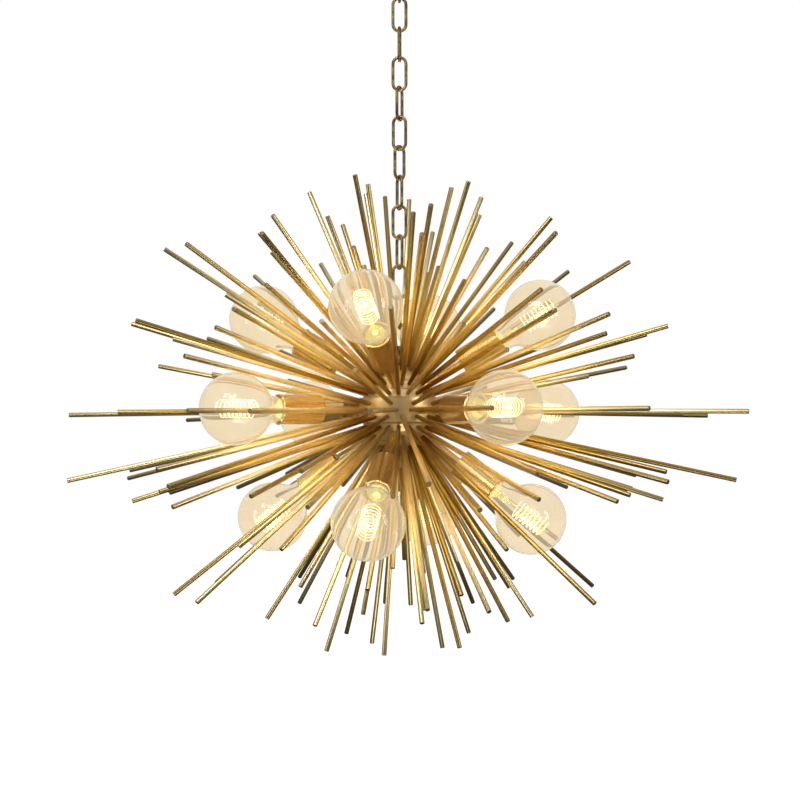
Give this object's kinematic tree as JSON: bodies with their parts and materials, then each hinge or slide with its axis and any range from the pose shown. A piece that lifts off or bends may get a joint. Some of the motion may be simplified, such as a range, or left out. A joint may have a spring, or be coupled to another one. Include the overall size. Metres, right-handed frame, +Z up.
{
  "type": "chandelier",
  "caption": "Starburst pendant chandelier: satin brass rods and globe lamps in cups radiate from a stacked drum hub hung on an oval-link chain from a round ceiling canopy.",
  "frame": {"origin": "middle of the mounting plate's top face, where it meets the ceiling", "axes": "+Z up along the chain, -Y the front"},
  "size_m": [0.9123, 0.9221, 0.9657],
  "materials": {
    "rod_brass": "brushed, lightly aged",
    "cup_brass": "satin",
    "canopy_brass": "satin",
    "antique_brass": "antique, dark in the recesses",
    "zinc_steel": "zinc plated",
    "porcelain": "glazed ceramic",
    "amber_glass": "clear, faint amber tint"
  },
  "bodies": {
    "ceiling_mount": {"mounting_plate": "zinc_steel", "canopy_loop": "antique_brass"},
    "lock_ring": {"canopy_lock_ring": "canopy_brass"},
    "canopy": {"canopy_shell": "canopy_brass"},
    "link_01": {"chain_link_01": "antique_brass"},
    "link_02": {"chain_link_02": "antique_brass"},
    "link_03": {"chain_link_03": "antique_brass"},
    "link_04": {"chain_link_04": "antique_brass"},
    "link_05": {"chain_link_05": "antique_brass"},
    "link_06": {"chain_link_06": "antique_brass"},
    "link_07": {"chain_link_07": "antique_brass"},
    "link_08": {"chain_link_08": "antique_brass"},
    "link_09": {"chain_link_09": "antique_brass"},
    "link_10": {"chain_link_10": "antique_brass"},
    "link_11": {"chain_link_11": "antique_brass"},
    "hub": {"hub_loop": "antique_brass", "hub_drum": "rod_brass", "upper_rod_ring_1": "rod_brass", "upper_rod_ring_2": "rod_brass", "upper_rod_crown": "rod_brass", "lower_rod_ring_1": "rod_brass", "lower_rod_ring_2": "rod_brass", "lower_rod_crown": "rod_brass", "lamp_cup_upper_1": "cup_brass", "lampholder_upper_1": "porcelain", "lamp_cup_upper_2": "cup_brass", "lampholder_upper_2": "porcelain", "lamp_cup_upper_3": "cup_brass", "lampholder_upper_3": "porcelain", "lamp_cup_upper_4": "cup_brass", "lampholder_upper_4": "porcelain", "lamp_cup_middle_1": "cup_brass", "lampholder_middle_1": "porcelain", "lamp_cup_middle_2": "cup_brass", "lampholder_middle_2": "porcelain", "lamp_cup_middle_3": "cup_brass", "lampholder_middle_3": "porcelain", "lamp_cup_middle_4": "cup_brass", "lampholder_middle_4": "porcelain", "lamp_cup_lower_1": "cup_brass", "lampholder_lower_1": "porcelain", "lamp_cup_lower_2": "cup_brass", "lampholder_lower_2": "porcelain", "lamp_cup_lower_3": "cup_brass", "lampholder_lower_3": "porcelain", "lamp_cup_lower_4": "cup_brass", "lampholder_lower_4": "porcelain"},
    "finial": {"finial_nut": "rod_brass"},
    "lamp_upper_1": {"bulb_upper_1": "amber_glass"},
    "lamp_upper_2": {"bulb_upper_2": "amber_glass"},
    "lamp_upper_3": {"bulb_upper_3": "amber_glass"},
    "lamp_upper_4": {"bulb_upper_4": "amber_glass"},
    "lamp_middle_1": {"bulb_middle_1": "amber_glass"},
    "lamp_middle_2": {"bulb_middle_2": "amber_glass"},
    "lamp_middle_3": {"bulb_middle_3": "amber_glass"},
    "lamp_middle_4": {"bulb_middle_4": "amber_glass"},
    "lamp_lower_1": {"bulb_lower_1": "amber_glass"},
    "lamp_lower_2": {"bulb_lower_2": "amber_glass"},
    "lamp_lower_3": {"bulb_lower_3": "amber_glass"},
    "lamp_lower_4": {"bulb_lower_4": "amber_glass"}
  },
  "joints": [
    {"name": "lock_ring_slide", "type": "slide", "parent": "ceiling_mount", "child": "lock_ring", "axis": [0, 0, 1], "range_m": [-0.03, 0]},
    {"name": "canopy_slide", "type": "slide", "parent": "ceiling_mount", "child": "canopy", "axis": [0, 0, 1], "range_m": [-0.03, 0]},
    {"name": "link_01_swing", "type": "hinge", "parent": "ceiling_mount", "child": "link_01", "pos_m": [0, 0, -0.0797], "axis": [0, 1, 0], "range_deg": [-12, 12]},
    {"name": "link_02_swing", "type": "hinge", "parent": "link_01", "child": "link_02", "pos_m": [0, 0, -0.1205], "axis": [1, 0, 0], "range_deg": [-12, 12]},
    {"name": "link_03_swing", "type": "hinge", "parent": "link_02", "child": "link_03", "pos_m": [0, 0, -0.1612], "axis": [0.0698, 0.9976, 0], "range_deg": [-5, 5]},
    {"name": "link_04_swing", "type": "hinge", "parent": "link_03", "child": "link_04", "pos_m": [0, 0, -0.2019], "axis": [1, 0, 0], "range_deg": [-5, 5]},
    {"name": "link_05_twist", "type": "hinge", "parent": "link_04", "child": "link_05", "pos_m": [0, 0, -0.2426], "axis": [0, 0, 1], "range_deg": [-15, 15]},
    {"name": "link_06_swing", "type": "hinge", "parent": "link_05", "child": "link_06", "pos_m": [0, 0, -0.2833], "axis": [0.9511, -0.309, 0], "range_deg": [-5, 5]},
    {"name": "link_07_swing", "type": "hinge", "parent": "link_06", "child": "link_07", "pos_m": [0, 0, -0.324], "axis": [0.6947, 0.7193, 0], "range_deg": [-4, 4]},
    {"name": "link_08_swing", "type": "hinge", "parent": "link_07", "child": "link_08", "pos_m": [0, 0, -0.3647], "axis": [0.3584, -0.9336, 0], "range_deg": [-4, 4]},
    {"name": "link_09_swing", "type": "hinge", "parent": "link_08", "child": "link_09", "pos_m": [0, 0, -0.4054], "axis": [0.9962, 0.0872, 0], "range_deg": [-3, 3]},
    {"name": "link_10_swing", "type": "hinge", "parent": "link_09", "child": "link_10", "pos_m": [0, 0, -0.4461], "axis": [0.3907, -0.9205, 0], "range_deg": [-3, 3]},
    {"name": "link_11_swing", "type": "hinge", "parent": "link_10", "child": "link_11", "pos_m": [0, 0, -0.4868], "axis": [0.9659, 0.2588, 0], "range_deg": [-3, 3]},
    {"name": "hub_swing", "type": "hinge", "parent": "link_11", "child": "hub", "pos_m": [0, 0, -0.5275], "axis": [0, 1, 0], "range_deg": [-4, 4]},
    {"name": "finial_turn", "type": "hinge", "parent": "hub", "child": "finial", "pos_m": [0, 0, -0.7015], "axis": [0, 0, 1], "range_deg": [0, 720]},
    {"name": "bulb_upper_1_turn", "type": "hinge", "parent": "hub", "child": "lamp_upper_1", "pos_m": [-0.03067, -0.13721, -0.54422], "axis": [-0.1874, -0.8384, 0.5119], "range_deg": [0, 720]},
    {"name": "bulb_upper_2_turn", "type": "hinge", "parent": "hub", "child": "lamp_upper_2", "pos_m": [0.13721, -0.03067, -0.54422], "axis": [0.8384, -0.1874, 0.5119], "range_deg": [0, 720]},
    {"name": "bulb_upper_3_turn", "type": "hinge", "parent": "hub", "child": "lamp_upper_3", "pos_m": [0.03067, 0.13721, -0.54422], "axis": [0.1874, 0.8384, 0.5119], "range_deg": [0, 720]},
    {"name": "bulb_upper_4_turn", "type": "hinge", "parent": "hub", "child": "lamp_upper_4", "pos_m": [-0.13721, 0.03067, -0.54422], "axis": [-0.8384, 0.1874, 0.5119], "range_deg": [0, 720]},
    {"name": "bulb_middle_1_turn", "type": "hinge", "parent": "hub", "child": "lamp_middle_1", "pos_m": [0.09882, -0.15876, -0.64], "axis": [0.5284, -0.849, 0], "range_deg": [0, 720]},
    {"name": "bulb_middle_2_turn", "type": "hinge", "parent": "hub", "child": "lamp_middle_2", "pos_m": [0.15876, 0.09882, -0.64], "axis": [0.849, 0.5284, 0], "range_deg": [0, 720]},
    {"name": "bulb_middle_3_turn", "type": "hinge", "parent": "hub", "child": "lamp_middle_3", "pos_m": [-0.09882, 0.15876, -0.64], "axis": [-0.5284, 0.849, 0], "range_deg": [0, 720]},
    {"name": "bulb_middle_4_turn", "type": "hinge", "parent": "hub", "child": "lamp_middle_4", "pos_m": [-0.15876, -0.09882, -0.64], "axis": [-0.849, -0.5284, 0], "range_deg": [0, 720]},
    {"name": "bulb_lower_1_turn", "type": "hinge", "parent": "hub", "child": "lamp_lower_1", "pos_m": [-0.02876, -0.12867, -0.74855], "axis": [-0.1722, -0.7703, -0.6139], "range_deg": [0, 720]},
    {"name": "bulb_lower_2_turn", "type": "hinge", "parent": "hub", "child": "lamp_lower_2", "pos_m": [0.12867, -0.02876, -0.74855], "axis": [0.7703, -0.1722, -0.6139], "range_deg": [0, 720]},
    {"name": "bulb_lower_3_turn", "type": "hinge", "parent": "hub", "child": "lamp_lower_3", "pos_m": [0.02876, 0.12867, -0.74855], "axis": [0.1722, 0.7703, -0.6139], "range_deg": [0, 720]},
    {"name": "bulb_lower_4_turn", "type": "hinge", "parent": "hub", "child": "lamp_lower_4", "pos_m": [-0.12867, 0.02876, -0.74855], "axis": [-0.7703, 0.1722, -0.6139], "range_deg": [0, 720]}
  ],
  "couplings": [
    {"joint": "canopy_slide", "follows": "lock_ring_slide", "ratio": 1}
  ]
}
